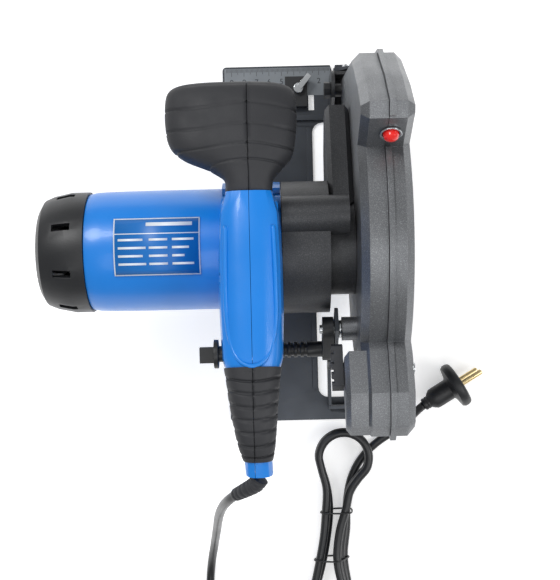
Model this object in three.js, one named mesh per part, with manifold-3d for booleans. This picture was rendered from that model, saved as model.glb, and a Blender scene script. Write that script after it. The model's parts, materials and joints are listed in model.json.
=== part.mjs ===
// A hand-held circular saw standing on its shoe with the blade raised, in millimetres.
// +X points from the motor to the blade, +Y is the cutting direction and +Z is up.
// The origin is on the underside of the shoe, to the left of its window.
import * as THREE from "three";
import { mergeVertices } from "three/addons/utils/BufferGeometryUtils.js";
import Module from "manifold-3d";

const wasm = await Module();
wasm.setup();

// ---- Driving dimensions ----
const GAP = 0.3; // between two pieces that touch
const WALL = 3; // cast and moulded shells

const SHOE = { x0: -42, x1: 98, y0: -105, y1: 180, thick: 2.5 };
const WINDOW = { x0: 29, x1: 84, y0: -87, y1: 134, corner: 8 };
const CUT_X = 60; // the blade's plane
const BEVEL_Z = 13.5; // height of the bevel axis, which runs along Y through CUT_X
const DEPTH_PIVOT = { y: 153, z: 38 }; // axis of the depth hinge, along X
const PLUNGE = THREE.MathUtils.degToRad(31); // from blade raised to full depth

const BLADE_AXIS = { y: 38, z: 99.5 };
const BLADE = { radius: 92.5, x0: 59, x1: 61, teeth: 24 };
const MOTOR_AXIS = { y: 29, z: 128 };
const MOTOR = { x0: -127, x1: 2, radius: 41, inner: 37 };
const CAP_END_X = -160;

const GUARD = { x0: 51, seam: 67.5, x1: 84, radius: 105, cavity: 101.5, chamfer: 5 };
const LOWER_GUARD = { x0: 54.6, x1: 67.2, radius: 97.5, wall: 1.5, hub: 24.4 };
const HUMP = [[155, 155], [130, 199], [111, 224], [101, 221], [88, 192]];
const BUTTON = { x: 70, y: 94.5, z: 206.5, radius: 5 };
const BUTTON_OUT = new THREE.Vector3(0, -0.912, 0.41); // way out of the hump's rear face

const GEAR = { x0: 13, x1: 26, tip: 23.4, root: 21.9, teeth: 34 };
const PINION = { tip: 6.2, root: 4.9, teeth: 9 };
const LINK = { radius: 206, half: 9, x0: 36, x1: 38.5 };
const BOLT_ANGLE = THREE.MathUtils.degToRad(151); // of the depth bolt round the depth pivot, blade raised
const DEPTH_BOLT = {
  y: DEPTH_PIVOT.y + LINK.radius * Math.cos(BOLT_ANGLE),
  z: DEPTH_PIVOT.z + LINK.radius * Math.sin(BOLT_ANGLE),
};

const HANDLE_SEAM_X = -18;
const CORD_RADIUS = 3.5;
const TABLE_Z = 0.3; // clearance under what lies on the table

// ---- Materials ----
const paint = (color, roughness, metalness) => new THREE.MeshStandardMaterial({ color, roughness, metalness });
const CAST = paint(0x8c9196, 0.5, 0.6);
const CAST_DARK = paint(0x4a4c4d, 0.5, 0.5);
const STEEL = paint(0xc0c4c8, 0.3, 1);
const SHEET = paint(0x5b636a, 0.4, 0.8);
const BLUE = paint(0x0d7fe0, 0.4, 0);
const RUBBER = paint(0x2d2e31, 0.8, 0);
const PLASTIC = paint(0x151619, 0.5, 0);
const RED = paint(0xf02015, 0.35, 0);
const COPPER = paint(0xb5653a, 0.4, 0.9);
const LABEL = paint(0xe8ecef, 0.5, 0);
const BLACK_CORD = paint(0x121317, 0.4, 0);

// ---- Geometry helpers ----
const root = new THREE.Group();
const ALONG_X = new THREE.Matrix4().makeBasis(
  new THREE.Vector3(0, 1, 0), new THREE.Vector3(0, 0, 1), new THREE.Vector3(1, 0, 0));
const ALONG_Y = new THREE.Matrix4().makeBasis(
  new THREE.Vector3(0, 0, 1), new THREE.Vector3(1, 0, 0), new THREE.Vector3(0, 1, 0));

function solid(geometry) {
  const bare = geometry.clone();
  bare.deleteAttribute("normal");
  bare.deleteAttribute("uv");
  const merged = mergeVertices(bare, 1e-4);
  const index = merged.index.array;
  return new wasm.Manifold(new wasm.Mesh({
    numProp: 3, vertProperties: merged.attributes.position.array, triVerts: new Uint32Array(index),
  }));
}

function node(name, body, material) {
  const mesh = body.getMesh();
  const geometry = new THREE.BufferGeometry();
  geometry.setAttribute("position", new THREE.BufferAttribute(new Float32Array(mesh.vertProperties), 3));
  geometry.setIndex(new THREE.BufferAttribute(new Uint32Array(mesh.triVerts), 1));
  const made = new THREE.Mesh(geometry, material);
  made.name = name;
  root.add(made);
}

function shapeOf(points) {
  return new THREE.Shape(points.map(([a, b]) => new THREE.Vector2(a, b)));
}

// An outline of (a, b) points extruded from low to high along its normal, with chamfered rims if asked.
function extrude(points, low, high, chamfer = 0) {
  return solid(new THREE.ExtrudeGeometry(shapeOf(points), {
    depth: high - low - 2 * chamfer, bevelEnabled: chamfer > 0, bevelThickness: chamfer,
    bevelSize: chamfer, bevelOffset: -chamfer, bevelSegments: 1,
  }).translate(0, 0, low + chamfer));
}

const turned = (body, matrix) => body.transform(matrix.elements);
const plateX = (yz, x0, x1, chamfer) => turned(extrude(yz, x0, x1, chamfer), ALONG_X);
const plateY = (zx, y0, y1, chamfer) => turned(extrude(zx, y0, y1, chamfer), ALONG_Y);
const plateZ = (xy, z0, z1, chamfer) => extrude(xy, z0, z1, chamfer);

function block(x0, x1, y0, y1, z0, z1) {
  const geometry = new THREE.BoxGeometry(x1 - x0, y1 - y0, z1 - z0);
  return solid(geometry.translate((x0 + x1) / 2, (y0 + y1) / 2, (z0 + z1) / 2));
}

// Points of an arc, in radians.
function arc(a, b, radius, from, to, steps) {
  const points = [];
  for (let i = 0; i <= steps; i++) {
    const angle = from + ((to - from) * i) / steps;
    points.push([a + radius * Math.cos(angle), b + radius * Math.sin(angle)]);
  }
  return points;
}

const circle = (a, b, radius, sides) => arc(a, b, radius, 0, 2 * Math.PI * (1 - 1 / sides), sides - 1);
const discX = (at, radius, x0, x1, sides = 24) => plateX(circle(at.y, at.z, radius, sides), x0, x1);
const discY = (x, z, radius, y0, y1, sides = 16) => plateY(circle(z, x, radius, sides), y0, y1);
const discZ = (x, y, radius, z0, z1, sides = 16) => plateZ(circle(x, y, radius, sides), z0, z1);
const ringX = (at, outer, inner, x0, x1, sides = 24) =>
  discX(at, outer, x0, x1, sides).subtract(discX(at, inner, x0 - 1, x1 + 1, sides));

function roundedBox(x0, x1, y0, y1, radius) {
  const quarter = Math.PI / 2;
  return [
    ...arc(x1 - radius, y1 - radius, radius, 0, quarter, 4),
    ...arc(x0 + radius, y1 - radius, radius, quarter, 2 * quarter, 4),
    ...arc(x0 + radius, y0 + radius, radius, 2 * quarter, 3 * quarter, 4),
    ...arc(x1 - radius, y0 + radius, radius, 3 * quarter, 4 * quarter, 4),
  ];
}

// A body of revolution about an axis along X, from a closed (radius, x) profile that starts and ends on the axis.
function latheX(at, profile, sides = 36) {
  const points = profile.map(([radius, x]) => new THREE.Vector2(radius, x));
  const geometry = new THREE.LatheGeometry(points, sides);
  geometry.rotateZ(-Math.PI / 2).translate(0, at.y, at.z);
  const body = solid(geometry);
  return body.volume() > 0 ? body : solid(flipped(geometry));
}

function flipped(geometry) {
  const copy = geometry.clone();
  const index = copy.index.array;
  for (let i = 0; i < index.length; i += 3) {
    [index[i + 1], index[i + 2]] = [index[i + 2], index[i + 1]];
  }
  return copy;
}

// A closed loft through rings that lie across a path in the YZ plane.
// Each station is [x, y, z, half width along X, half thickness across the path].
function loft(stations, sides = 14, power = 0.75) {
  const vertices = [];
  const last = stations.length - 1;
  stations.forEach(([x, y, z, half, thick], i) => {
    const before = stations[Math.max(i - 1, 0)];
    const after = stations[Math.min(i + 1, last)];
    const along = new THREE.Vector2(after[1] - before[1], after[2] - before[2]).normalize();
    for (let k = 0; k < sides; k++) {
      const angle = (2 * Math.PI * k) / sides;
      const across = half * Math.sign(Math.cos(angle)) * Math.abs(Math.cos(angle)) ** power;
      const up = thick * Math.sign(Math.sin(angle)) * Math.abs(Math.sin(angle)) ** power;
      vertices.push(x + across, y - along.y * up, z + along.x * up);
    }
  });
  const faces = [];
  for (let i = 0; i < last; i++) {
    for (let k = 0; k < sides; k++) {
      const a = i * sides + k;
      const b = i * sides + ((k + 1) % sides);
      faces.push(a, b, a + sides, b, b + sides, a + sides);
    }
  }
  for (let k = 1; k < sides - 1; k++) {
    faces.push(0, k + 1, k);
    faces.push(last * sides, last * sides + k, last * sides + k + 1);
  }
  const geometry = new THREE.BufferGeometry();
  geometry.setAttribute("position", new THREE.BufferAttribute(new Float32Array(vertices), 3));
  geometry.setIndex(new THREE.BufferAttribute(new Uint32Array(faces), 1));
  const body = solid(geometry);
  return body.volume() > 0 ? body : solid(flipped(geometry));
}

// A round tube along a smooth curve through the given points.
function tube(points, radius, steps, sides = 8) {
  const path = new THREE.CatmullRomCurve3(points.map((p) => new THREE.Vector3(...p)));
  const section = shapeOf(circle(0, 0, radius, sides));
  const body = solid(new THREE.ExtrudeGeometry(section, { steps, bevelEnabled: false, extrudePath: path }));
  return body;
}

// A short cylinder along any direction.
function peg(at, direction, radius, length, sides = 16) {
  const geometry = new THREE.CylinderGeometry(radius, radius, length, sides).translate(0, length / 2, 0);
  const turn = new THREE.Quaternion().setFromUnitVectors(new THREE.Vector3(0, 1, 0), direction);
  return solid(geometry.applyQuaternion(turn).translate(at.x, at.y, at.z));
}

function toothed(at, teeth, tip, root_, lean = 0) {
  const points = [];
  for (let i = 0; i < teeth; i++) {
    for (const [part, radius] of [[0, root_], [0.3 + lean, tip], [0.55 + lean, tip], [0.85, root_]]) {
      const angle = (2 * Math.PI * (i + part)) / teeth;
      points.push([at.y + radius * Math.cos(angle), at.z + radius * Math.sin(angle)]);
    }
  }
  return points;
}

// A (y, z) place given at full depth, carried back to where it is with the blade raised.
function raised([y, z]) {
  const dy = y - DEPTH_PIVOT.y;
  const dz = z - DEPTH_PIVOT.z;
  const c = Math.cos(PLUNGE);
  const s = Math.sin(PLUNGE);
  return [DEPTH_PIVOT.y + dy * c + dz * s, DEPTH_PIVOT.z - dy * s + dz * c];
}

// ---- Shoe ----
function shoe() {
  let plate = plateZ(roundedBox(SHOE.x0, SHOE.x1, SHOE.y0, SHOE.y1, 3), 0, SHOE.thick);
  plate = plate.subtract(plateZ(roundedBox(WINDOW.x0, WINDOW.x1, WINDOW.y0, WINDOW.y1, WINDOW.corner), -1, 5));
  const notch = (x) => plateZ([[x - 2.4, 181], [x, 173], [x + 2.4, 181]], -1, 5);
  plate = plate.subtract(notch(CUT_X)).subtract(notch(CUT_X - BEVEL_Z));
  plate = plate.subtract(block(26.5, 31, 144, 164, -1, 5));
  const sideRib = block(24.5, WINDOW.x0 - GAP, -80, 130, 1, 4);
  const frontRib = block(-30, 40, 135.5, 140, 1, 6);
  node("shoe_plate", plate.add(sideRib).add(frontRib), SHEET);

  // The front upright carries the bevel pin and the curved slot of the bevel lock.
  const slotRadius = 32;
  const slotHalf = 3.2;
  const degrees = THREE.MathUtils.degToRad;
  const arcSlot = [
    ...arc(BEVEL_Z, CUT_X, slotRadius + slotHalf, degrees(34), degrees(92), 8),
    ...arc(BEVEL_Z, CUT_X, slotRadius - slotHalf, degrees(92), degrees(34), 8),
  ];
  let upright = plateY([
    [SHOE.thick - 0.5, 48], [20, 46], [24, 52], ...arc(BEVEL_Z, CUT_X, 40, degrees(22), degrees(80), 8),
    [SHOE.thick - 0.5, 97],
  ], 171, 173.5);
  upright = upright.subtract(plateY(arcSlot, 165, 180)).subtract(discY(CUT_X, BEVEL_Z, 4.3, 165, 180));
  upright = upright.intersect(block(0, 97, 170, 176, SHOE.thick + GAP, 60));
  node("front_quadrant", upright, SHEET);

  let rear = plateY([
    [SHOE.thick + GAP, 40], [8, 38], [20, 50], [24, 60], [20, 70], [8, 82], [SHOE.thick + GAP, 80],
  ], -98, -95.5);
  rear = rear.subtract(discY(CUT_X, BEVEL_Z, 4.3, -100, -90));
  node("rear_upright", rear, SHEET);
}

// ---- Rip-guide clamp ----
function guideClamp() {
  const x = 18.5;
  const y = 160;
  let strap = block(8, 25.5, 146, 170, SHOE.thick + GAP, 10);
  strap = strap.subtract(block(7, 26, 150, 166, 2, 7.5));
  strap = strap.subtract(discZ(x, y, 2.6, 2, 20, 12));
  node("guide_clamp", strap, PLASTIC);

  const stem = discZ(x, y, 2.3, 7.8, 12, 12);
  const dome = discZ(x, y, 3.9, 10.3, 15, 16);
  const lever = plateZ([[x - 1, y + 2], [x + 2, y - 1.5], [x + 10.5, y + 9], [x + 7.5, y + 11.5]], 11.3, 15.5);
  node("guide_screw", stem.add(dome).add(lever), STEEL);
}

// ---- Carrier between the shoe and the saw ----
const EAR_LEFT = [43, 45.5];
const EAR_RIGHT = [67.8, 70.3];
const TONGUE = 12;

function carrier() {
  const low = 9;
  const ear = [
    [136, low], [167.5, low], ...arc(DEPTH_PIVOT.y + 2, DEPTH_PIVOT.z, 13, 0, 0.75 * Math.PI, 7),
  ];
  let bracket = plateX(ear, ...EAR_LEFT).add(plateX(ear, ...EAR_RIGHT));
  bracket = bracket.add(block(EAR_LEFT[0], EAR_RIGHT[1], 165.5, 168, low, 36));
  bracket = bracket.add(block(EAR_LEFT[0], EAR_RIGHT[1], 137, 168, low, low + 2.5));
  bracket = bracket.subtract(discX(DEPTH_PIVOT, 5.3, 30, 100, 20));
  bracket = bracket.subtract(discY(CUT_X, BEVEL_Z, 4.3, 160, 172));
  const lock = bevelLockPlace();
  bracket = bracket.add(block(EAR_RIGHT[0], lock.x, 165.5, 168, lock.z - 6, lock.z + 6));
  bracket = bracket.add(discY(lock.x, lock.z, 7, 165.5, 168));
  bracket = bracket.subtract(discY(lock.x, lock.z, 2.9, 160, 172));
  node("front_bracket", bracket, CAST_DARK);

  const pin = discX(DEPTH_PIVOT, 5, 42, 71, 40).add(discX(DEPTH_PIVOT, 6.5, 37.5, 42.7, 8));
  node("depth_pivot_pin", pin.add(discX(DEPTH_PIVOT, 6.5, EAR_RIGHT[1] + GAP, 73.5, 8)), PLASTIC);
  const frontPin = discY(CUT_X, BEVEL_Z, 4, 163, 176).add(discY(CUT_X, BEVEL_Z, 6.5, 173.8, 177));
  node("bevel_pin_front", frontPin, STEEL);
  const rearPin = discY(CUT_X, BEVEL_Z, 4, -101, -88).add(discY(CUT_X, BEVEL_Z, 6.5, -101, -98.3));
  node("bevel_pin_rear", rearPin, STEEL);

  // The depth link: an arc about the depth pivot, joined to an arm that turns on the rear bevel pin.
  const from = BOLT_ANGLE - 0.065;
  const to = BOLT_ANGLE + PLUNGE + 0.075;
  const band = (half, a, b, steps) => [
    ...arc(DEPTH_PIVOT.y, DEPTH_PIVOT.z, LINK.radius + half, a, b, steps),
    ...arc(DEPTH_PIVOT.y, DEPTH_PIVOT.z, LINK.radius - half, b, a, steps),
  ];
  let link = plateX(band(LINK.half, from, to, 14), LINK.x0, LINK.x1);
  link = link.add(block(LINK.x0, LINK.x1, -94.5, -46, 8, 20));
  link = link.add(block(LINK.x0, 66, -94.7, -92.2, 9, 21));
  link = link.subtract(plateX(band(3.4, from + 0.045, to - 0.045, 14), 30, 45));
  link = link.subtract(discY(CUT_X, BEVEL_Z, 4.3, -96, -90));
  node("depth_link", link, SHEET);
}

function bevelLockPlace() {
  const angle = THREE.MathUtils.degToRad(40);
  return { x: CUT_X + 32 * Math.sin(angle), z: BEVEL_Z + 32 * Math.cos(angle) };
}

function bevelKnob() {
  const { x, z } = bevelLockPlace();
  const stem = discY(x, z, 2.6, 165.7, 176, 12);
  const hub = discY(x, z, 5.5, 173.8, 178, 12);
  const wing = block(x - 11, x + 11, 174.5, 177.5, z - 2, z + 2);
  node("bevel_knob", stem.add(hub).add(wing), PLASTIC);
}

// ---- Upper guard ----
function guardOutline() {
  const start = Math.atan2(HUMP[4][1] - BLADE_AXIS.z, HUMP[4][0] - BLADE_AXIS.y);
  const end = THREE.MathUtils.degToRad(134);
  return [
    ...arc(DEPTH_PIVOT.y, DEPTH_PIVOT.z, TONGUE, -Math.PI / 2, 0, 4),
    [163, 60], [159, 105],
    ...HUMP.slice(0, 4),
    ...arc(BLADE_AXIS.y, BLADE_AXIS.z, GUARD.radius, start, end, 22),
    [-40, 180], [-66, 191], [-88, 187], [-95, 178],
    raised([-128, 27]), raised([-72, 27]), raised([-68, 6]), raised([108, 6]), raised([126, 16]),
    [140, 28],
  ];
}

function grown(points, by) {
  const count = points.length;
  return points.map(([y, z], i) => {
    const before = points[(i + count - 1) % count];
    const after = points[(i + 1) % count];
    const first = new THREE.Vector2(y - before[0], z - before[1]).normalize();
    const second = new THREE.Vector2(after[0] - y, after[1] - z).normalize();
    const normal = new THREE.Vector2(first.y + second.y, -first.x - second.x).normalize();
    const scale = by / Math.max(normal.x * first.y - normal.y * first.x, 0.5);
    return [y + normal.x * scale, z + normal.y * scale];
  });
}

function guard() {
  const outline = guardOutline();
  let shell = plateX(outline, GUARD.x0, GUARD.x1, GUARD.chamfer);
  const rearBox = plateX([[-40, 178], [-66, 189], [-88, 185], [-94, 178], raised([-126, 28]), raised([-80, 28])],
    40, 60, 3);
  shell = shell.add(rearBox);
  const cavity = discX(BLADE_AXIS, GUARD.cavity, GUARD.x0 + WALL, GUARD.x1 - WALL, 48);
  const bore = peg({ x: BUTTON.x, y: BUTTON.y + 16 * 0.912, z: BUTTON.z - 16 * 0.41 }, BUTTON_OUT,
    BUTTON.radius + 0.4, 30);
  const pivotBore = discX(DEPTH_PIVOT, 5.1, 40, 100, 40);
  shell = shell.subtract(cavity).subtract(bore).subtract(pivotBore);
  const lug = discX(DEPTH_BOLT, 8, 41, 52);
  const boltBore = discX(DEPTH_BOLT, 3.3, 40, 53.9, 12);
  const hubHole = discX(BLADE_AXIS, 24.9, 40, 56, 32);
  const innerSide = block(0, GUARD.seam, -200, 300, -10, 300);
  const outerSide = block(GUARD.seam + GAP, 200, -200, 300, -10, 300);
  const inner = shell.intersect(innerSide).add(lug).subtract(boltBore).subtract(hubHole);
  node("guard_inner", inner, CAST);

  // The raised bead along the seam runs over the hump and the crown, and stops at the button.
  let bead = plateX(grown(outline, 2.4), GUARD.seam + GAP, GUARD.seam + 4).subtract(
    plateX(grown(outline, -2), GUARD.seam - 1, GUARD.seam + 5));
  bead = bead.intersect(plateX([[180, 120], [180, 240], [-110, 240], [-110, 180], [-30, 150], [60, 180]], 60, 80));
  bead = bead.subtract(block(60, 80, 80, 102, 180, 240).subtract(block(60, 80, 70, 87, 180, 240)));
  const access = discX(BLADE_AXIS, 23, 75, 90, 24);
  const bracketRoom = block(GUARD.seam - 0.2, 90, 120, 180, 0, 62);
  let outer = shell.intersect(outerSide).add(bead).subtract(access).subtract(bracketRoom);
  GUARD_SCREWS.forEach((at) => {
    outer = outer.subtract(discX(at, 4.4, GUARD.x1 - 1.5, GUARD.x1 + 1, 12));
  });
  node("guard_outer", outer, CAST);
  GUARD_SCREWS.forEach((at, i) => {
    node("guard_screw_" + (i + 1), discX(at, 4, GUARD.x1 - 1.2, GUARD.x1 + 1, 12), STEEL);
  });

  // A ribbed rubber strip closes the gap over the chip outlet.
  let grille = plateX([[-46, 158], [-36, 166], [-37, 170], [-62, 178], [-66, 172]], 32, 39.5);
  for (let i = 0; i < 4; i++) {
    grille = grille.subtract(block(31, 33.5, -60 + 6 * i, -58 + 6 * i, 150, 190));
  }
  node("chip_strip", grille, RUBBER);
}

const GUARD_SCREWS = [{ y: 120, z: 170 }, { y: 30, z: 186 - 8 }, { y: -52, z: 176 }];

// ---- Button of the cutting light ----
function lightButton() {
  const at = { x: BUTTON.x, y: BUTTON.y, z: BUTTON.z };
  const start = { x: at.x, y: at.y + 8 * 0.912, z: at.z - 8 * 0.41 };
  const points = [[0, 0], [BUTTON.radius, 0], [BUTTON.radius, 10], [4.3, 12.2], [2.4, 13.5], [0, 14]];
  const lathe = new THREE.LatheGeometry(points.map(([r, h]) => new THREE.Vector2(r, h)), 20);
  const turn = new THREE.Quaternion().setFromUnitVectors(new THREE.Vector3(0, 1, 0), BUTTON_OUT);
  lathe.applyQuaternion(turn).translate(start.x, start.y, start.z);
  const dome = solid(lathe);
  node("light_button", dome.volume() > 0 ? dome : solid(flipped(lathe)), RED);
  const foot = { x: at.x, y: at.y - GAP * 0.912, z: at.z + GAP * 0.41 };
  const bezel = peg(foot, BUTTON_OUT, BUTTON.radius + 2, 1.4, 20).subtract(
    peg({ x: at.x, y: at.y + 3, z: at.z - 1 }, BUTTON_OUT, BUTTON.radius + 0.4, 12, 20));
  node("button_bezel", bezel, STEEL);
}

// ---- Gear housing, motor and drive ----
function gearHousing() {
  const left = MOTOR.x1 + GAP;
  let housing = discX(MOTOR_AXIS, 45, left, 33.5, 32);
  housing = housing.add(discX(BLADE_AXIS, 27, 8, 33.5, 24));
  housing = housing.add(discX(MOTOR_AXIS, 33, 30, GUARD.x0 - GAP, 24));
  housing = housing.add(discX(BLADE_AXIS, 30, 30, GUARD.x0 - GAP, 24));
  housing = housing.add(discX(BLADE_AXIS, 24, 45, 56.6, 24));
  // The crown rib and the arm that reaches forward to the nose of the guard.
  housing = housing.add(discX({ y: 48, z: 165 }, 13, left, 46, 20));
  housing = housing.add(plateX([
    [50, 90], [66, 72], [100, 76], [124, 96], [128, 116], [116, 124], [80, 140], [56, 150],
  ], 34, GUARD.x0 - GAP, 3));
  housing = housing.subtract(discX(MOTOR_AXIS, 17, 0, 11, 24));
  housing = housing.subtract(discX(MOTOR_AXIS, 9, 10, 28.5, 24));
  housing = housing.subtract(discX(BLADE_AXIS, 24.6, 11, 28.5, 24));
  housing = housing.subtract(discX(BLADE_AXIS, 16.3, 34, 60, 24));
  housing = housing.subtract(discX(BLADE_AXIS, 9, 20, 40, 20));
  const forward = new THREE.Vector3(0, 1, 0);
  const lockX = 31.7;
  const lockBore = peg({ x: lockX, y: 55.6, z: BLADE_AXIS.z }, forward, 3.4, 36);
  housing = housing.subtract(lockBore);
  node("gear_housing", housing, CAST_DARK);
  const lock = peg({ x: lockX, y: 60, z: BLADE_AXIS.z }, forward, 3, 14);
  node("spindle_lock_button", lock, PLASTIC);
}

function motor() {
  const { x0, x1, radius, inner } = MOTOR;
  const tubeBody = latheX(MOTOR_AXIS, [
    [0, x0], [radius - 1.6, x0], [radius - 0.3, x0 + 12], [radius, x0 + 40], [radius, x1], [0, x1],
  ], 36);
  node("motor_housing", tubeBody.subtract(discX(MOTOR_AXIS, inner, x0 - 5, x1 + 5, 36)), BLUE);

  const shoulder = CAP_END_X + 9;
  let cap = latheX(MOTOR_AXIS, [
    [0, CAP_END_X], [31, CAP_END_X], [36, CAP_END_X + 3], [38.5, shoulder], [radius, x0 - 12],
    [radius, x0 - GAP], [0, x0 - GAP],
  ], 36);
  cap = cap.subtract(discX(MOTOR_AXIS, inner - 1.5, CAP_END_X + 7, x0 + 5, 28));
  cap = cap.add(ringX(MOTOR_AXIS, 14, 11.3, CAP_END_X + 4, CAP_END_X + 16));
  for (let i = 0; i < 8; i++) {
    const angle = (i * Math.PI) / 4 + Math.PI / 8;
    const slot = block(CAP_END_X + 12, x0 - 9, -2.4, 2.4, 30, 48);
    const turn = new THREE.Matrix4().makeRotationX(angle);
    turn.setPosition(0, MOTOR_AXIS.y, MOTOR_AXIS.z);
    cap = cap.subtract(turned(slot, turn));
  }
  node("end_cap", cap, PLASTIC);

  node("stator", ringX(MOTOR_AXIS, inner - GAP, 26, -105, -45, 24), STEEL);
  node("front_bearing", ringX(MOTOR_AXIS, 16.7, 5.35, 3, 10.5), STEEL);
  node("rear_bearing", ringX(MOTOR_AXIS, 11, 5.35, CAP_END_X + 7.5, CAP_END_X + 15, 20), STEEL);
  [1, -1].forEach((side, i) => {
    const near = MOTOR_AXIS.y + side * 14.6;
    const far = MOTOR_AXIS.y + side * 34;
    node("carbon_brush_" + (i + 1), block(-123, -115, Math.min(near, far), Math.max(near, far),
      MOTOR_AXIS.z - 3.5, MOTOR_AXIS.z + 3.5), PLASTIC);
  });

  const outer = radius + 0.9;
  const plate = plateX([
    ...arc(MOTOR_AXIS.y, MOTOR_AXIS.z, outer, 1.08, 2.0, 10),
    ...arc(MOTOR_AXIS.y, MOTOR_AXIS.z, outer - 0.6, 2.0, 1.08, 10),
  ], -107, -51);
  node("rating_plate", plate, LABEL);
}

function armature() {
  let shaft = discX(MOTOR_AXIS, 5, CAP_END_X + 7.6, 11.6, 16);
  shaft = shaft.add(plateX(toothed(MOTOR_AXIS, PINION.teeth, PINION.tip, PINION.root), 11.4, 27.5));
  node("armature_shaft", shaft, STEEL);
  node("armature_core", ringX(MOTOR_AXIS, 25.4, 5.3, -105, -45, 20), COPPER);
  node("commutator", ringX(MOTOR_AXIS, 14, 5.3, -127, -110, 20), COPPER);
  let fan = ringX(MOTOR_AXIS, 12, 5.3, -12, -2, 20).add(ringX(MOTOR_AXIS, 34, 10, -4, -2, 24));
  for (let i = 0; i < 8; i++) {
    const turn = new THREE.Matrix4().makeRotationX((i * Math.PI) / 4);
    turn.setPosition(0, MOTOR_AXIS.y, MOTOR_AXIS.z);
    fan = fan.add(turned(block(-12, -3, -1, 1, 9, 33), turn));
  }
  node("cooling_fan", fan, PLASTIC);
}

function spindle() {
  const shaft = discX(BLADE_AXIS, 8, 12, 56.8, 20).add(discX(BLADE_AXIS, 5.5, 56, 64.2, 16));
  node("spindle_shaft", shaft.subtract(discX(BLADE_AXIS, 3.4, 50, 66, 12)), STEEL);
  const gear = plateX(toothed(BLADE_AXIS, GEAR.teeth, GEAR.tip, GEAR.root), GEAR.x0, GEAR.x1);
  node("drive_gear", gear.subtract(discX(BLADE_AXIS, 8.3, 10, 30, 20)), STEEL);
  node("spindle_bearing", ringX(BLADE_AXIS, 16, 8.35, 35.5, 46), STEEL);
  node("inner_flange", ringX(BLADE_AXIS, 20, 5.8, 57.1, BLADE.x0 - GAP), STEEL);
  const disc = plateX(toothed(BLADE_AXIS, BLADE.teeth, BLADE.radius, BLADE.radius - 7, 0.28), BLADE.x0, BLADE.x1);
  node("saw_blade", disc.subtract(discX(BLADE_AXIS, 5.8, 50, 70, 20)), STEEL);
  node("outer_flange", ringX(BLADE_AXIS, 18, 5.8, BLADE.x1 + GAP, 64), STEEL);
  const bolt = discX(BLADE_AXIS, 3.1, 51, 66, 12).add(discX(BLADE_AXIS, 10, 64.5, 66.3, 20));
  node("blade_bolt", bolt.add(discX(BLADE_AXIS, 7, 66, 73, 6)), STEEL);
}

function lowerGuard() {
  const { x0, x1, radius, wall, hub } = LOWER_GUARD;
  let shell = discX(BLADE_AXIS, radius, x0, x1, 44);
  shell = shell.subtract(discX(BLADE_AXIS, radius - wall, x0 + wall, x1 - wall, 44));
  shell = shell.subtract(discX(BLADE_AXIS, 34, x1 - wall - 1, x1 + 1, 32));
  const above = block(40, 80, -130, 130, 0, 130);
  const tilt = new THREE.Matrix4().makeRotationX(-0.1);
  tilt.setPosition(0, BLADE_AXIS.y, BLADE_AXIS.z);
  shell = shell.subtract(turned(above, tilt));
  shell = shell.add(discX(BLADE_AXIS, 34, x0, x0 + wall, 32));
  shell = shell.subtract(discX(BLADE_AXIS, hub, x0 - 1, x0 + wall + 0.5, 32));
  const lever = { y: BLADE_AXIS.y + 74 * Math.cos(-1), z: BLADE_AXIS.z + 74 * Math.sin(-1) };
  shell = shell.add(discX(lever, 4, 52, x0 + 0.5, 14)).add(discX(lever, 5.5, 50, 53.5, 14));
  node("lower_guard", shell, CAST_DARK);
}

function depthLever() {
  const bolt = discX(DEPTH_BOLT, 3, 26, 51.5, 12).add(discX(DEPTH_BOLT, 6, 39, 40.6, 12));
  node("depth_bolt", bolt, STEEL);
  const gripAt = { y: DEPTH_BOLT.y - 14, z: DEPTH_BOLT.z - 13 };
  const arm = plateX([
    ...arc(DEPTH_BOLT.y, DEPTH_BOLT.z, 8.5, -0.75, 2.4, 6),
    ...arc(gripAt.y, gripAt.z, 8, 2.4, 5.5, 6),
  ], 28, 35.4);
  let lever = arm.add(discX(gripAt, 5.4, 0, 30, 12)).subtract(discX(DEPTH_BOLT, 3.3, 20, 40, 12));
  for (let i = 0; i < 4; i++) {
    lever = lever.subtract(ringX(gripAt, 8, 4.4, 2 + 4.5 * i, 4 + 4.5 * i, 10));
  }
  node("depth_lever", lever, PLASTIC);
}

// ---- Handle ----
const SPINE = [
  [-18, 74, 186, 14, 10], [-18, 60, 190, 15, 11], [-18, 48, 192, 18.5, 13], [-18, 20, 192, 20, 15],
  [-18, -15, 193, 20, 16], [-18, -42, 196, 19, 16], [-18, -54, 198, 15.5, 14], [-17.8, -70, 200, 13.4, 12.5],
  [-17, -88, 200.5, 11, 11], [-16, -103, 199, 8.7, 9.5], [-15.4, -113, 197, 8.6, 9],
];
const LOOP = [
  [-16, -106, 193, 7.5, 8], [-16.5, -99, 174, 8, 8], [-17.5, -80, 152, 9, 7.5], [-18, -50, 135, 10, 8],
  [-18, -22, 127, 12, 9], [-18, -4, 125, 12, 10],
];
const REAR_GRIP = [
  [-18, -48, 197, 18.3, 16.6], [-18, -56, 198, 17, 16], [-17.8, -70, 200, 15.4, 14.6],
  [-17, -88, 200.5, 13, 13], [-16.3, -99, 199.4, 11, 12], [-16, -104, 199, 9.6, 10.6],
];
const slimmer = (stations, by) => stations.map(([x, y, z, a, b]) => [x, y, z, a - by, b - by]);

function splitAtSeam(name, body, material) {
  const far = 200;
  node(name + "_left", body.intersect(block(-far, HANDLE_SEAM_X, -far, far, -10, 2 * far)), material);
  node(name + "_right", body.intersect(block(HANDLE_SEAM_X + GAP, far, -far, far, -10, 2 * far)), material);
}

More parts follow.
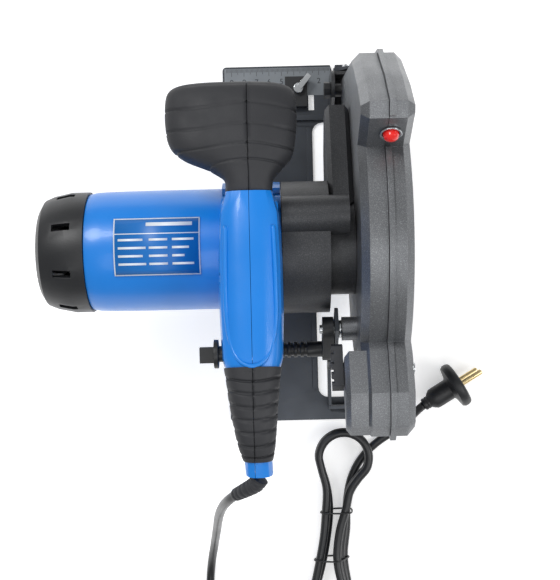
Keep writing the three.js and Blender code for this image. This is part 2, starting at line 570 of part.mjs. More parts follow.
function handle() {
  let shell = loft(SPINE).add(loft(LOOP, 12));
  shell = shell.add(discX(MOTOR_AXIS, MOTOR.radius + 4, -37, MOTOR.x1 - 0.5, 32));
  const saddle = plateX([[66, 150], [58, 186], [-20, 190], [-20, 150], [20, 140]], -36, 0, 4);
  shell = shell.add(saddle);
  const hollow = loft(slimmer(SPINE.slice(1, 10), WALL), 12).subtract(block(-60, 30, -200, 200, 0, 182));
  shell = shell.subtract(hollow);
  shell = shell.subtract(discX(MOTOR_AXIS, MOTOR.radius + 0.5, -60, 30, 36));
  const triggerSlot = block(-24.4, -11.6, -82, -42, 178, 200);
  const lockBore = discX({ y: -39, z: 193 }, 5.4, -60, -22, 16);
  shell = shell.subtract(triggerSlot).subtract(lockBore);
  shell = shell.subtract(FRONT_NECK_CUT());
  HANDLE_SCREWS.forEach((at) => {
    shell = shell.subtract(discX(at, 4.2, -60, -25, 12));
  });
  const sleeve = loft(REAR_GRIP).subtract(loft(SPINE.map(([x, y, z, a, b]) => [x, y, z, a + GAP, b + GAP])));
  const sleeveBody = sleeve.subtract(block(-24.4, -11.6, -82, -42, 170, 195))
    .subtract(loft(LOOP.map(([x, y, z, a, b]) => [x, y, z, a + GAP, b + GAP]), 12));
  splitAtSeam("handle_shell", shell, BLUE);
  splitAtSeam("rear_grip", sleeveBody, RUBBER);
  HANDLE_SCREWS.forEach((at, i) => {
    node("handle_screw_" + (i + 1), discX(at, 3.8, -30, -25.3, 12), STEEL);
  });
}

const HANDLE_SCREWS = [{ y: 8, z: 196 }, { y: -92, z: 170 }];
const FRONT_NECK_CUT = () => block(-60, 30, 62, 100, 150, 220);

// The auxiliary front grip: a broad rounded paddle on a short neck.
function frontGrip() {
  const stations = [
    [-18, 62.4, 187, 15, 11], [-18, 70, 187, 16, 12], [-20, 77, 186, 24, 14], [-25, 84, 185, 35, 16],
    [-28, 92, 184, 40, 17.5], [-28.5, 105, 182, 42, 18], [-28.5, 118, 180, 42, 17.5],
    [-28.5, 125, 178, 40.5, 14.5], [-28.5, 129, 176.5, 36, 9],
  ];
  const hollow = slimmer(stations.slice(0, 7), 4);
  const body = loft(stations, 16).subtract(loft([[-18, 50, 187, 9, 6], ...hollow], 12));
  splitAtSeam("front_grip", body, RUBBER);
}

function controls() {
  const pivot = { y: -46, z: 184 };
  const trigger = plateX([
    [-44, 189], [-44, 180], [-48, 172], [-58, 170], [-70, 174], [-79, 181], [-79, 189],
  ], -24, -12, 1.5);
  node("trigger", trigger.subtract(discX(pivot, 1.6, -30, 0, 10)), PLASTIC);
  const paddle = block(-51, -41, -44.5, -34.5, 190.5, 195.5);
  const flange = discX({ y: -39, z: 193 }, 9, -42, -39.2, 20);
  const stem = discX({ y: -39, z: 193 }, 5, -42, -25, 16);
  node("lock_off_lever", paddle.add(flange).add(stem), PLASTIC);
}

// ---- Cord ----
const BOOT_END = [-31, -129, 182];
const LEAD_ROUTE = [
  [-31.4, -129.3, 181.4], [-36, -134, 172.5], [-41.5, -143, 150], [-46.5, -157, 114], [-51, -176, 70], [-56, -198, 28], [-60, -218, 8],
  [-61.5, -238, 3.9], [-59, -262, 3.9], [-48, -287, 3.9], [-26, -305, 3.9], [4, -311, 3.9], [32, -311, 3.9],
  [50, -306, 3.9],
];
const PLUG_ROUTE = [
  [58, -135, 4], [70, -121, 4], [84, -112, 4], [95, -108, 5.2], [103, -103, 9], [109, -96, 13],
];
const HANK_END_Y = -296;

function cord() {
  const boot = tube([[-15.6, -116.4, 196.1], [-18.2, -120.5, 194.6], [-25, -125, 189.4], BOOT_END], 6.2, 8, 12);
  node("cord_boot", boot, RUBBER);
  node("cord_lead", tube(LEAD_ROUTE, CORD_RADIUS, 36), BLACK_CORD);
  const outline = [
    [32, -110], [56, -108.5], [68, -117], [70.5, -134], [61, -152], [58, -180], [50, -215], [56, -250],
    [68, -276], [58, HANK_END_Y], [34, HANK_END_Y - 2], [10, HANK_END_Y], [2, -278], [8, -245], [22, -205],
    [29, -170], [24, -145], [24, -120],
  ];
  node("cord_hank", plateZ(outline.reverse(), TABLE_Z, 21), BLACK_CORD);
  const lead = tube(PLUG_ROUTE, CORD_RADIUS, 14);
  const hankSpace = plateZ(grown(outline, GAP), -5, 30);
  node("plug_lead", lead.subtract(hankSpace), BLACK_CORD);
}

// The mains plug stands up on the end of its lead just clear of the shoe's side.
function plug() {
  const forward = new THREE.Vector3(0.86, 0.51, 0).normalize();
  const at = { x: 111, y: -93.4, z: 19 };
  const shaped = [[0, 0], [5, 0], [6.5, 6], [8.5, 9], [8.5, 24], [17.5, 26], [18.5, 30], [17, 34], [0, 34]];
  const lathe = new THREE.LatheGeometry(shaped.map(([r, h]) => new THREE.Vector2(r, h)), 24);
  const turn = new THREE.Quaternion().setFromUnitVectors(new THREE.Vector3(0, 1, 0), forward);
  lathe.applyQuaternion(turn).translate(at.x, at.y, at.z);
  let body = solid(lathe);
  body = body.volume() > 0 ? body : solid(flipped(lathe));
  [9.5, -9.5].forEach((dz) => {
    const foot = { x: at.x + forward.x * 33, y: at.y + forward.y * 33, z: at.z + dz };
    body = body.add(peg(foot, forward, 2.3, 19, 10));
  });
  node("mains_plug", body, PLASTIC);
}

shoe();
guideClamp();
carrier();
bevelKnob();
guard();
lightButton();
gearHousing();
motor();
armature();
spindle();
lowerGuard();
depthLever();
handle();
frontGrip();
controls();
cord();
plug();

export default root;
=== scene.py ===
"""The look of the circular saw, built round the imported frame.

In metres, with +X from the motor to the blade, +Y along the cut and +Z up.
"""

import json
import math

import bpy
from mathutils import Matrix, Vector


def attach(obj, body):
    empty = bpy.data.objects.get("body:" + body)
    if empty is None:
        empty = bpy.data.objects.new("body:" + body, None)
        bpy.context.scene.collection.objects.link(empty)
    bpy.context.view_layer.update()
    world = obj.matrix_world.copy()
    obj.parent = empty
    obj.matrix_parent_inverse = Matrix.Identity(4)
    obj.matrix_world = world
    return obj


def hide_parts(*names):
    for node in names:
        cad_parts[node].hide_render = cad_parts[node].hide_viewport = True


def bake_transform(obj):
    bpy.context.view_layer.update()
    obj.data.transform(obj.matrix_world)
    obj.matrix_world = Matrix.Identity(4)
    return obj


# ---- Driving dimensions, in metres ----
MM = 0.001
MOTOR_Y, MOTOR_Z = 0.029, 0.128  # the motor's axis
MOTOR_R = 0.041
SEAM_X = -0.018  # where the halves of the handle and the grips meet
SEAM_GAP = 0.0003
CAST_EDGE, FINE_EDGE = 0.0006, 0.0003  # widths of the rounded edges
ROUND_OVER, SPLIT_OVER = 32, 38  # degrees between two faces
CORD_R = 0.00325

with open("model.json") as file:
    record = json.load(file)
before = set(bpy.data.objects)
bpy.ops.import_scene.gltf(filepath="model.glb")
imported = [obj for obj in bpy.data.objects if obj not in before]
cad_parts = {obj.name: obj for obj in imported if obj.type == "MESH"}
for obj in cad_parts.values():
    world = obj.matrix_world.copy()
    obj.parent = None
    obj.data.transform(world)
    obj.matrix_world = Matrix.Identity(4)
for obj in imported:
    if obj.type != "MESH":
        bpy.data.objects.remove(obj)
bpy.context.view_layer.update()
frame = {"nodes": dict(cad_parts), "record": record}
NODES = frame["nodes"]


# ---- Materials ----
def shade(name, colour, rough, metal=0.0, vary=0.06, grain=400.0, bump=0.05, fleck=None, coat=0.0):
    """A surface with cloudy colour and roughness, fine grain in the bump and, if asked, paler flecks."""
    made = bpy.data.materials.new(name)
    made.use_nodes = True
    tree = made.node_tree
    shader = tree.nodes["Principled BSDF"]
    shader.inputs["Metallic"].default_value = metal
    shader.inputs["Coat Weight"].default_value = coat
    cloud_scale, wear_scale, fleck_scale = 18.0, 60.0, grain * 1.6
    fleck_start, fleck_end = 0.56, 0.64
    grain_height = 0.0004
    place = tree.nodes.new("ShaderNodeTexCoord")

    def noise(scale, detail):
        n = tree.nodes.new("ShaderNodeTexNoise")
        n.inputs["Scale"].default_value = scale
        n.inputs["Detail"].default_value = detail
        tree.links.new(place.outputs["Object"], n.inputs["Vector"])
        return n.outputs["Fac"]

    def spread(source, start, end):
        m = tree.nodes.new("ShaderNodeMapRange")
        m.inputs["From Min"].default_value = 0.3
        m.inputs["From Max"].default_value = 0.7
        m.inputs["To Min"].default_value = start
        m.inputs["To Max"].default_value = end
        tree.links.new(source, m.inputs["Value"])
        return m.outputs["Result"]

    def mix(factor, one, two):
        m = tree.nodes.new("ShaderNodeMix")
        m.data_type = "RGBA"
        tree.links.new(factor, m.inputs["Factor"])
        for socket, value in ((m.inputs[6], one), (m.inputs[7], two)):
            if isinstance(value, tuple):
                socket.default_value = value
            else:
                tree.links.new(value, socket)
        return m.outputs[2]

    dark = tuple(c * (1 - vary) for c in colour) + (1.0,)
    light = tuple(min(1.0, c * (1 + vary)) for c in colour) + (1.0,)
    clouds = noise(cloud_scale, 4.0)
    surface = mix(spread(clouds, 0.0, 1.0), dark, light)
    fine = noise(grain, 3.0)
    if fleck:
        ramp = tree.nodes.new("ShaderNodeValToRGB")
        ramp.color_ramp.elements[0].position = fleck_start
        ramp.color_ramp.elements[1].position = fleck_end
        tree.links.new(noise(fleck_scale, 1.0), ramp.inputs["Fac"])
        surface = mix(ramp.outputs["Color"], surface, fleck + (1.0,))
    tree.links.new(surface, shader.inputs["Base Color"])
    wear = spread(noise(wear_scale, 3.0), rough * 0.88, min(1.0, rough * 1.12))
    tree.links.new(wear, shader.inputs["Roughness"])
    relief = tree.nodes.new("ShaderNodeBump")
    relief.inputs["Strength"].default_value = bump
    relief.inputs["Distance"].default_value = grain_height
    tree.links.new(fine, relief.inputs["Height"])
    tree.links.new(relief.outputs["Normal"], shader.inputs["Normal"])
    return made


BLUE = shade("blue_plastic", (0.003, 0.200, 0.680), 0.32, vary=0.05, grain=900, bump=0.10, coat=0.15)
RUBBER = shade("charcoal_rubber", (0.020, 0.021, 0.025), 0.62, vary=0.12, grain=1100, bump=0.30)
BLACK = shade("black_plastic", (0.009, 0.010, 0.012), 0.42, vary=0.12, grain=900, bump=0.15)
CAST = shade("cast_guard", (0.150, 0.156, 0.165), 0.40, 0.75, 0.08, 1300, 0.28,
             fleck=(0.26, 0.27, 0.28))
CAST_DARK = shade("cast_housing", (0.045, 0.047, 0.050), 0.45, 0.60, 0.10, 1300, 0.30,
                  fleck=(0.08, 0.08, 0.085))
SHEET = shade("shoe_sheet", (0.060, 0.066, 0.076), 0.38, 0.70, 0.08, 700, 0.08)
SHEET_PALE = shade("shoe_scale", (0.23, 0.25, 0.27), 0.34, 0.80, 0.05, 700, 0.06)
STEEL = shade("bright_steel", (0.56, 0.58, 0.60), 0.24, 1.0, 0.05, 900, 0.06)
BLADE = shade("blade_steel", (0.46, 0.47, 0.49), 0.30, 1.0, 0.06, 500, 0.10)
BRASS = shade("pale_brass", (0.72, 0.58, 0.32), 0.26, 1.0, 0.05, 900, 0.05)
COPPER = shade("copper", (0.55, 0.24, 0.11), 0.36, 0.9, 0.10, 900, 0.15)
RED = shade("red_button", (0.80, 0.012, 0.008), 0.26, vary=0.05, grain=900, bump=0.03, coat=0.4)
PLATE = shade("plate_white", (0.74, 0.79, 0.86), 0.38, vary=0.03, grain=900, bump=0.02)
PLATE_BLUE = shade("plate_blue", (0.004, 0.150, 0.500), 0.38, vary=0.04, grain=900, bump=0.02)
INK = shade("ink", (0.030, 0.034, 0.040), 0.55, vary=0.10, grain=900, bump=0.02)
CORD = shade("cord_sheath", (0.010, 0.011, 0.013), 0.34, vary=0.12, grain=700, bump=0.06)

SLOT_LOOK = {
    "cast_silver": CAST, "cast_dark": CAST_DARK, "steel": STEEL, "sheet_steel": SHEET, "copper": COPPER,
    "blue_plastic": BLUE, "black_plastic": BLACK, "red_plastic": RED, "black_rubber": RUBBER,
    "label": PLATE, "cord": CORD,
}


def dress_frame():
    """Gives every CAD node its finish, smooth curved faces and a fine rounded edge."""
    slots = {s["node"]: s["material_slot"] for s in frame["record"]["subparts"]}
    for name, obj in NODES.items():
        obj.data.materials.clear()
        obj.data.materials.append(BLADE if name == "saw_blade" else SLOT_LOOK[slots[name]])
        obj.data.polygons.foreach_set("material_index", [0] * len(obj.data.polygons))
        soften(obj, CAST_EDGE if name.startswith(("guard_", "gear_")) else FINE_EDGE)


def soften(obj, width):
    """Joins the faces of a CAD node, rounds its hard edges a little and shades its curved sides smoothly."""
    if "custom_normal" in obj.data.attributes:
        obj.data.attributes.remove(obj.data.attributes["custom_normal"])
    obj.data.polygons.foreach_set("use_smooth", [True] * len(obj.data.polygons))
    weld = obj.modifiers.new("weld", "WELD")
    weld.merge_threshold = 1e-6
    edge = obj.modifiers.new("edge", "BEVEL")
    edge.width = width
    edge.segments = 2
    edge.limit_method = "ANGLE"
    edge.angle_limit = math.radians(ROUND_OVER)
    edge.use_clamp_overlap = True
    obj.modifiers.new("normals", "WEIGHTED_NORMAL")


# ---- Mesh helpers ----
def mesh(name, vertices, faces, material, smooth=True):
    """A new object in the scene, with its material."""
    data = bpy.data.meshes.new(name)
    data.from_pydata([tuple(v) for v in vertices], [], faces)
    data.update()
    data.materials.append(material)
    data.polygons.foreach_set("use_smooth", [smooth] * len(data.polygons))
    obj = bpy.data.objects.new(name, data)
    bpy.context.scene.collection.objects.link(obj)
    return obj


def crisp(obj):
    """Splits the smooth shading at the sharp edges."""
    split = obj.modifiers.new("edge", "EDGE_SPLIT")
    split.split_angle = math.radians(SPLIT_OVER)


def in_metres(rows):
    """Rows of millimetres as rows of metres."""
    return [[v * MM for v in row] for row in rows]


def circle(sides):
    """The angles of a number of points round a circle."""
    return [2 * math.pi * k / sides for k in range(sides)]


def ring_faces(rings, sides, clockwise=False):
    """The faces of a closed skin over rings of points, with a cap at either end."""
    faces = []
    for i in range(rings - 1):
        for k in range(sides):
            a, b = i * sides + k, i * sides + (k + 1) % sides
            faces.append((a, a + sides, b + sides, b) if clockwise else (a, b, b + sides, a + sides))
    first, final = list(range(sides)), list(range((rings - 1) * sides, rings * sides))
    (final if clockwise else first).reverse()
    return faces + [first, final]


def between(p, q, r, s, t):
    """The smooth curve from q to r, at t from 0 to 1, with p before it and s after it."""
    cubic = (3 * q - p - 3 * r + s) * t ** 3
    return 0.5 * (2 * q + (r - p) * t + (2 * p - 5 * q + 4 * r - s) * t * t + cubic)


def smooth_rows(rows, steps):
    """Rows of numbers joined by a smooth curve, with a number of steps from each row to the next."""
    made = []
    last = len(rows) - 1
    for i in range(last):
        near = (rows[max(i - 1, 0)], rows[i], rows[i + 1], rows[min(i + 2, last)])
        for k in range(steps):
            made.append([between(*values, k / steps) for values in zip(*near)])
    made.append(list(rows[last]))
    return made


def tube(name, path, radius, material, sides=14):
    """A round tube along a list of points. radius is a number or one number per point."""
    radii = radius if isinstance(radius, list) else [radius] * len(path)
    points = [Vector(p) for p in path]
    vertices = []
    side = None
    last = len(points) - 1
    for i, p in enumerate(points):
        ahead = (points[min(i + 1, last)] - points[max(i - 1, 0)]).normalized()
        if side is None:
            side = ahead.cross(Vector((0, 0, 1)) if abs(ahead.z) < 0.9 else Vector((0, 1, 0)))
        side = (side - ahead * side.dot(ahead)).normalized()
        up = ahead.cross(side)
        for angle in circle(sides):
            vertices.append(p + (side * math.cos(angle) + up * math.sin(angle)) * radii[i])
    return mesh(name, vertices, ring_faces(len(points), sides), material)


def plate(name, outline, z_low, z_high, material):
    """A flat closed outline of (x, y) points between two heights."""
    count = len(outline)
    vertices = [(x, y, z_low) for x, y in outline] + [(x, y, z_high) for x, y in outline]
    faces = [tuple(reversed(range(count))), tuple(range(count, 2 * count))]
    for i in range(count):
        j = (i + 1) % count
        faces.append((i, j, count + j, count + i))
    return mesh(name, vertices, faces, material, smooth=False)


def box(x0, x1, y0, y1):
    """The corners of a rectangle."""
    return [(x0, y0), (x1, y0), (x1, y1), (x0, y1)]


def turned_body(name, start, along, profile, material, sides):
    """A body turned about a line: profile is (radius, distance) pairs from one end to the other."""
    along = Vector(along).normalized()
    side = along.cross(Vector((0, 0, 1)) if abs(along.z) < 0.9 else Vector((1, 0, 0))).normalized()
    up = along.cross(side)
    vertices = []
    for radius, distance in profile:
        centre = Vector(start) + along * distance
        for angle in circle(sides):
            vertices.append(centre + (side * math.cos(angle) + up * math.sin(angle)) * radius)
    obj = mesh(name, vertices, ring_faces(len(profile), sides), material)
    crisp(obj)
    return obj


# ---- Grips ----
SQUARENESS = 0.75  # 1 makes a grip's section an ellipse, and less makes it squarer
REAR_PITCH, REAR_WIDTH, REAR_DEPTH = 0.0073, 0.0012, 0.0016
REAR_START, REAR_BOW = -0.101, 12.0
REAR_FROM, REAR_TO = -0.1015, -0.0505
PADDLE_LINES = (0.078, 0.088, 0.0995, 0.113)
PADDLE_WAVE, PADDLE_WIDTH, PADDLE_DEPTH = 0.0016, 0.0009, 0.0009

# Both grips' sections: x, y, z, half width and half thickness, in millimetres.
REAR_GRIP = [
    (-18, -48, 197, 18.0, 16.3), (-18, -56, 198, 16.8, 15.8), (-17.8, -70, 200, 15.2, 14.4),
    (-17, -88, 200.5, 12.8, 12.8), (-16.3, -99, 199.4, 10.8, 11.8), (-16, -104, 199, 9.4, 10.4),
]
FRONT_GRIP = [
    (-18, 62.4, 187, 14.8, 10.8), (-18, 70, 187, 15.8, 11.8), (-20, 77, 186, 23.6, 13.8),
    (-25, 84, 185, 34.6, 15.8), (-28, 92, 184, 39.6, 17.3), (-28.5, 105, 182, 41.6, 17.8),
    (-28.5, 118, 180, 41.6, 17.3), (-28.5, 125, 178, 40.1, 14.3), (-28.5, 129, 176.5, 35.6, 8.8),
]


def ring_loft(name, stations, side, groove, sides, steps):
    """Half of a rubber grip, on one side of the handle's seam, lofted through its sections."""
    rows = smooth_rows(in_metres(stations), steps)
    last = len(rows) - 1
    wall = SEAM_X if side < 0 else SEAM_X + SEAM_GAP
    vertices = []
    for i, (x, y, z, half, thick) in enumerate(rows):
        before, after = rows[max(i - 1, 0)], rows[min(i + 1, last)]
        run = Vector((0, after[1] - before[1], after[2] - before[2])).normalized()
        upward = math.copysign(1, run.y)
        for angle in circle(sides):
            c, s = math.cos(angle), math.sin(angle)
            across = half * math.copysign(abs(c) ** SQUARENESS, c)
            rise = thick * math.copysign(abs(s) ** SQUARENESS, s)
            shrink = 1 - groove(y, x + across - SEAM_X, upward * rise / thick) / thick
            place = x + across * shrink
            place = min(place, wall) if side < 0 else max(place, wall)
            vertices.append((place, y - run.z * rise * shrink, z + run.y * rise * shrink))
    faces = ring_faces(len(rows), sides, clockwise=True)
    return mesh(name, vertices, faces, RUBBER)


def rear_groove(y, across, level):
    """Seven grooves that curve across the top of the rear grip."""
    phase = (y - REAR_START - REAR_BOW * across * across) / REAR_PITCH
    near = abs(phase - round(phase)) * REAR_PITCH
    inside = REAR_FROM < y < REAR_TO and level > -0.2
    return REAR_DEPTH * max(0.0, 1 - near / REAR_WIDTH) if inside else 0.0


def front_groove(y, across, level):
    """Four shallow lines right round the paddle, so at every level."""
    depth = 0.0
    for line in PADDLE_LINES:
        wave = line + PADDLE_WAVE * math.cos(across * 90)
        depth += PADDLE_DEPTH * max(0.0, 1 - abs(y - wave) / PADDLE_WIDTH)
    return depth


def grips():
    """The two halves of each grip, in place of the plain CAD ones."""
    for side, word in ((-1, "left"), (1, "right")):
        rear = ring_loft("rear_grip_look_" + word, REAR_GRIP, side, rear_groove, sides=96, steps=22)
        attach(rear, "saw")
        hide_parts("rear_grip_" + word)
        front = ring_loft("front_grip_look_" + word, FRONT_GRIP, side, front_groove, sides=112, steps=16)
        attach(front, "saw")
        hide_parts("front_grip_" + word)


def handle_bead():
    """The U-shaped ridge along the top of the blue body and round its rear end."""
    seam = -18
    half = [
        (-32.6, 40, 202.6), (-33.2, 20, 204.2), (-33.4, 0, 204.9), (-33.0, -18, 205.6),
        (-30.4, -33, 207.4), (-25.4, -42.4, 210.6),
    ]
    other = [(2 * seam - x, y, z) for x, y, z in reversed(half)]
    line = smooth_rows(half + [(seam, -45.6, 212.2)] + other, 6)
    bead = tube("handle_bead", in_metres(line), 0.0015, BLUE)
    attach(bead, "saw")


def motor_tube():
    """The motor's tube, open at both ends."""
    # Its wall as (radius, x) in millimetres, along the outside and back along the inside.
    wall = [(39.4, -127), (40.4, -122), (40.7, -115), (41, -87), (41, 2), (37, 2), (37, -127)]
    sides = 120
    vertices, faces = [], []
    for radius, x in wall:
        for angle in circle(sides):
            y, z = radius * MM * math.cos(angle), radius * MM * math.sin(angle)
            vertices.append((x * MM, MOTOR_Y + y, MOTOR_Z + z))
    for i in range(len(wall)):
        ring, following = i * sides, (i + 1) % len(wall) * sides
        for k in range(sides):
            beside = (k + 1) % sides
            faces.append((ring + k, ring + beside, following + beside, following + k))
    body = mesh("motor_tube", vertices, faces, BLUE)
    crisp(body)
    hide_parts("motor_housing")
    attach(body, "saw")


# ---- Shoe scale and rating plate ----
def shoe_scale():
    """A pale band with centimetre numbers and millimetre ticks along the shoe's front edge."""
    under, face, ink = 0.0025, 0.00265, 0.00008  # the band's two faces and the height of the ticks
    edge_y, zero_x = 0.1780, 0.0553
    first_x, last_x = -0.0395, 0.0435
    half_tick = 0.00016
    band = plate("scale_band", box(-0.0405, 0.0445, 0.1560, 0.1785), under, face, SHEET_PALE)
    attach(band, "shoe")
    for mark in range(10, 97):
        x = zero_x - mark * MM
        if not first_x < x < last_x:
            continue
        tall = 0.0058 if mark % 10 == 0 else 0.0042 if mark % 5 == 0 else 0.0026
        outline = box(x - half_tick, x + half_tick, edge_y - tall, edge_y)
        tick = plate("tick_%d" % mark, outline, face, face + ink, INK)
        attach(tick, "shoe")
    for number in range(2, 10):
        text = bpy.data.curves.new("digit", "FONT")
        text.body = str(number)
        text.size = 0.0062
        text.align_x = "CENTER"
        text.extrude = 0.00004
        holder = bpy.data.objects.new("digit", text)
        bpy.context.scene.collection.objects.link(holder)
        holder.location = (zero_x - number * 10 * MM, 0.1655, face + 0.00005)
        bpy.context.view_layer.update()
        shown = holder.evaluated_get(bpy.context.evaluated_depsgraph_get())
        made = bpy.data.meshes.new_from_object(shown)
        made.transform(holder.matrix_world)
        made.materials.clear()
        made.materials.append(INK)
        digit = bpy.data.objects.new("scale_digit_%d" % number, made)
        bpy.context.scene.collection.objects.link(digit)
        bpy.data.objects.remove(holder)
        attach(digit, "shoe")


def curved_patch(name, x0, x1, a0, a1, lift, material):
    """A thin patch on the motor's round side, between two angles from the Y axis."""
    steps = 12
    thickness = 0.00012
    vertices, faces = [], []
    for i in range(steps + 1):
        angle = a0 + (a1 - a0) * i / steps
        for radius in (MOTOR_R + lift, MOTOR_R + lift + thickness):
            y, z = radius * math.cos(angle), radius * math.sin(angle)
            vertices += [(x, MOTOR_Y + y, MOTOR_Z + z) for x in (x0, x1)]
    for i in range(steps):
        a, b = 4 * i, 4 * (i + 1)
        faces += [
            (a + 2, b + 2, b + 3, a + 3), (a, a + 1, b + 1, b),
            (a, b, b + 2, a + 2), (a + 1, a + 3, b + 3, b + 1),
        ]
    faces += [(0, 2, 3, 1), (4 * steps, 4 * steps + 1, 4 * steps + 3, 4 * steps + 2)]
    return mesh(name, vertices, faces, material)


def rating_plate():
    """A bordered plate with plain bars where print would be."""
    lowest, layer = 0.0009, 0.00013  # how far the patches lie off the motor's side
    # Each patch runs between two places along the motor and two angles round it, in radians.
    parts = [
        ("plate_edge", -0.1070, -0.0510, 1.08, 2.00, PLATE),
        ("plate_face", -0.1062, -0.0518, 1.10, 1.98, PLATE_BLUE),
        ("plate_band", -0.0860, -0.0560, 1.16, 1.22, PLATE),
        ("plate_rule", -0.1062, -0.0518, 1.335, 1.350, PLATE),
    ]
    for row in range(4):
        start = 1.42 + 0.125 * row
        end = start + 0.035
        parts += [
            ("plate_bar_a%d" % row, -0.1040, -0.0880 + 0.002 * (row % 2), start, end, PLATE),
            ("plate_bar_b%d" % row, -0.0840, -0.0720, start, end, PLATE),
            ("plate_bar_c%d" % row, -0.0690, -0.0550 - 0.003 * (row % 3), start, end, PLATE),
        ]
    for i, (name, x0, x1, a0, a1, material) in enumerate(parts):
        lift = lowest + layer * min(i, 2)
        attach(curved_patch(name, x0, x1, a0, a1, lift, material), "saw")


# ---- Cord and plug, with their routes in millimetres ----
LEAD = [
    (-31.0, -129.0, 182.0), (-31.6, -129.6, 180.8), (-36, -134, 172.5), (-41.5, -143, 150),
    (-46.5, -157, 114), (-51, -176, 70), (-56, -198, 28), (-60, -218, 8), (-61.5, -238, 3.9),
    (-59, -262, 3.9), (-48, -287, 3.9), (-26, -305, 3.9), (4, -311, 3.9), (32, -311, 3.9), (50, -306, 3.9),
]
# The lead's end climbs on to the hank round this fold.
ENTRY_FOLD = (44.6, -285.7, 21, -75, 20)
ENTRY_STEPS, ENTRY_Z, ENTRY_CLIMB = 5, 3.9, 12.2
# One turn of the hank: up the right side, over the top fold, down the left side and round the bottom fold.
# The third number of a straight run's point is how much of SPREAD it takes.
TOP_FOLD = (47.3, -134, 19.8, -56, 205)
BOTTOM_FOLD = (34, -270, 22, 146, 387)
TURN_UP = [
    (50.5, -248, 0.3), (45.5, -232, 0.8), (43, -213, 1), (45.5, -192, 1), (48.6, -174, 0.2),
    (51.5, -160.5, 0),
]
TURN_DOWN = [
    (33.5, -158, 0.2), (35, -176, 1), (33, -196, 1), (29, -217, 1), (23.5, -237, 0.7), (18.5, -250, 0.2),
]
LEVELS = [17.4, 10.85, 4.3]
SPREAD = 3.0
PLUG_RUN = [
    (52, -157, 4.0), (57.5, -143.5, 3.75), (65.5, -132.5, 3.7), (75, -124, 3.7), (85, -117.5, 4.0),
    (94, -111.5, 5.4), (101, -104.8, 9.0), (106.3, -98.5, 13.8), (111.5, -93.1, 19.0),
]
# Each tie is a loop of (x, z) points round the hank, drawn tight.
TIE_UPPER = [
    (31.6, 3.6), (41, 1.0), (50, 0.9), (53, 4.3), (52.4, 17.0), (48.6, 20.9), (40, 21), (31.5, 19.2),
    (28.0, 15.4), (29.5, 9),
]
TIE_LOWER = [
    (27, 2.6), (37, 1.0), (46.2, 0.9), (49.9, 4.3), (47.4, 11.5), (43.6, 18), (39.5, 20.9), (32, 19.8),
    (24.2, 16.3), (22.2, 12.8), (24.3, 6.5),
]


def fold(cx, cy, radius, start, end, steps=8):
    """The (x, y) points of an arc between two angles in degrees."""
    turns = [math.radians(start + (end - start) * i / steps) for i in range(steps + 1)]
    return [(cx + radius * math.cos(t), cy + radius * math.sin(t)) for t in turns]


def hank_path():
    """The folded cord: three turns, each under the last and a little to its side where they run straight."""
    entry = fold(*ENTRY_FOLD, ENTRY_STEPS)
    points = [(x, y, ENTRY_Z + ENTRY_CLIMB * (i / ENTRY_STEPS) ** 1.2) for i, (x, y) in enumerate(entry)]
    points.append((59, -263.5, LEVELS[0]))
    for turn, level in enumerate(LEVELS):
        aside = (turn - 1) * SPREAD
        up = [(x + aside * share, y, level) for x, y, share in TURN_UP]
        if turn == len(LEVELS) - 1:
            points += up[:5]
            break
        below = LEVELS[turn + 1]
        points += up + [(x, y, level) for x, y in fold(*TOP_FOLD)]
        for i, (x, y, share) in enumerate(TURN_DOWN):
            drop = (i + 1) / len(TURN_DOWN)
            points.append((x + aside * share, y, level + (below - level) * drop))
        points += [(x, y, below) for x, y in fold(*BOTTOM_FOLD)]
    return points + PLUG_RUN


def cords():
    """The lead from the handle, the hank it runs into, the plug and the ties."""
    lead_line = in_metres(smooth_rows(LEAD, 8))
    lead = tube("cord_lead_look", lead_line, CORD_R, CORD)
    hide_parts("cord_lead")
    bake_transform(lead)
    hank_line = in_metres(smooth_rows(hank_path(), 6))
    hank = tube("cord_hank_look", hank_line, CORD_R, CORD)
    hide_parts("cord_hank", "plug_lead")
    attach(hank, "shoe")
    plug_parts = mains_plug()
    ties = [tie("tie_upper", -177, TIE_UPPER), tie("tie_lower", -215, TIE_LOWER)]


def strain_relief():
    """The tapered, ribbed sleeve round the cord where it leaves the handle."""
    wide, taper, ring = 6.0, 1.9, 0.45
    middle = [(-15.6, -116.6, 196.0), (-18.2, -120.5, 194.6), (-25, -125, 189.4), (-31, -129, 182)]
    line = smooth_rows(middle, 16)
    count = len(line) - 1
    radii = [
        (wide - taper * i / count - ring * (i % 6 in (0, 1)) * (i > 6)) * MM for i in range(count + 1)
    ]
    sleeve = tube("strain_relief", in_metres(line), radii, RUBBER, sides=24)
    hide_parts("cord_boot")
    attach(sleeve, "saw")


def tie(name, y, around):
    """A thin twist tie round the hank, through (x, z) points."""
    line = smooth_rows([(x, y, z) for x, z in around + around[:1]], 4)
    made = tube(name, in_metres(line), 0.0007, BLACK, sides=8)
    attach(made, "shoe")
    return made


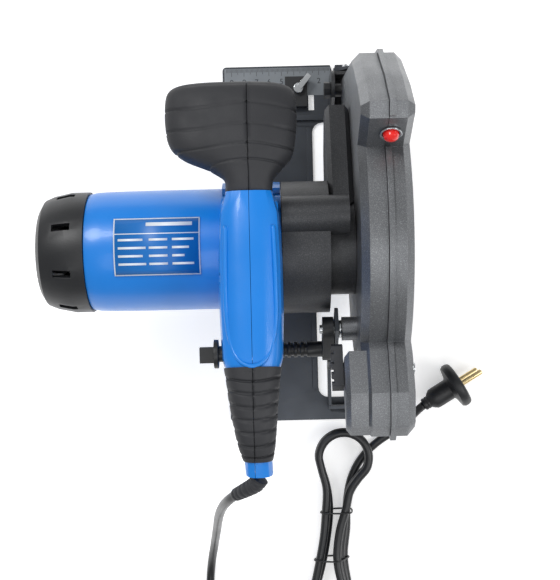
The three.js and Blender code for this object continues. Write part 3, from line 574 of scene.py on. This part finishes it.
def mains_plug():
    """The plug at the end of the hank: a turned body with a wide flange, and two pins one above the other."""
    forward = Vector((0.86, 0.51, 0)).normalized()
    at = Vector((0.111, -0.0934, 0.019))
    profile = [
        (4.6, 0), (5.0, 1.5), (4.6, 2.6), (5.2, 3.6), (4.8, 4.8), (6.3, 6.4), (8.2, 9), (8.4, 12),
        (8.4, 23.6), (9.4, 24.6), (16.9, 26.2), (18.1, 28), (18.3, 30.4), (17.6, 32.6), (16.6, 33.6),
        (15.4, 33.9),
    ]
    pin = [(2.25, 0), (2.25, 16.6), (2.0, 17.8), (1.3, 18.3)]
    pin_start, pin_rise = 0.0335, 0.0095
    body = turned_body("plug_body", at, forward, in_metres(profile), BLACK, 48)
    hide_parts("mains_plug")
    parts = [body]
    for i, rise in enumerate((pin_rise, -pin_rise)):
        foot = at + forward * pin_start + Vector((0, 0, rise))
        name = "plug_pin_%d" % (i + 1)
        parts.append(turned_body(name, foot, forward, in_metres(pin), BRASS, 20))
    for part in parts:
        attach(part, "shoe")
    return parts


# ---- Camera, light and floor ----
CAMERA_HEIGHT, CAMERA_LENS, CAMERA_TURN = 0.850, 65.4, -1.4  # metres, millimetres, degrees
SKY = 0.42
FLOOR_GLOW = 0.42
FLOOR_HALF = 6
AIM = (0, 0, 0.1)
# Each lamp's name, place, size in metres and power in watts.
LAMPS = (
    ("key", (-0.7, 0.9, 1.5), 0.6, 15), ("fill", (1.1, -0.3, 1.2), 0.8, 8), ("top", (0.0, -0.6, 1.8), 1.0, 6),
)


def studio():
    """A camera straight above, a white room, three soft lamps and a pale floor."""
    scene = bpy.context.scene
    camera = bpy.data.cameras.new("camera")
    camera.lens = CAMERA_LENS
    camera.sensor_width = 36
    holder = bpy.data.objects.new("camera", camera)
    scene.collection.objects.link(holder)
    holder.location = (0, 0, CAMERA_HEIGHT)
    holder.rotation_euler = (0, 0, math.radians(CAMERA_TURN))
    scene.camera = holder

    world = bpy.data.worlds.new("room")
    scene.world = world
    world.use_nodes = True
    sky = world.node_tree.nodes["Background"]
    sky.inputs["Color"].default_value = (1.0, 1.0, 1.0, 1.0)
    sky.inputs["Strength"].default_value = SKY
    scene.view_settings.view_transform = "Standard"
    for name, place, size, power in LAMPS:
        lamp = bpy.data.lights.new(name, "AREA")
        lamp.size = size
        lamp.energy = power
        shown = bpy.data.objects.new(name, lamp)
        scene.collection.objects.link(shown)
        shown.location = place
        aim = Vector(AIM) - Vector(place)
        shown.rotation_euler = aim.to_track_quat("-Z", "Y").to_euler()

    white = bpy.data.materials.new("floor")
    white.use_nodes = True
    paint = white.node_tree.nodes["Principled BSDF"].inputs
    paint["Base Color"].default_value = (0.97, 0.97, 0.97, 1)
    paint["Roughness"].default_value = 0.9
    paint["Emission Color"].default_value = (1, 1, 1, 1)
    paint["Emission Strength"].default_value = FLOOR_GLOW
    floor = bpy.data.meshes.new("floor")
    corners = box(-FLOOR_HALF, FLOOR_HALF, -FLOOR_HALF, FLOOR_HALF)
    floor.from_pydata([(x, y, 0) for x, y in corners], [], [(0, 1, 2, 3)])
    floor.materials.append(white)
    ground = bpy.data.objects.new("floor", floor)
    scene.collection.objects.link(ground)


dress_frame()
grips()
handle_bead()
motor_tube()
shoe_scale()
rating_plate()
strain_relief()
cords()
studio()
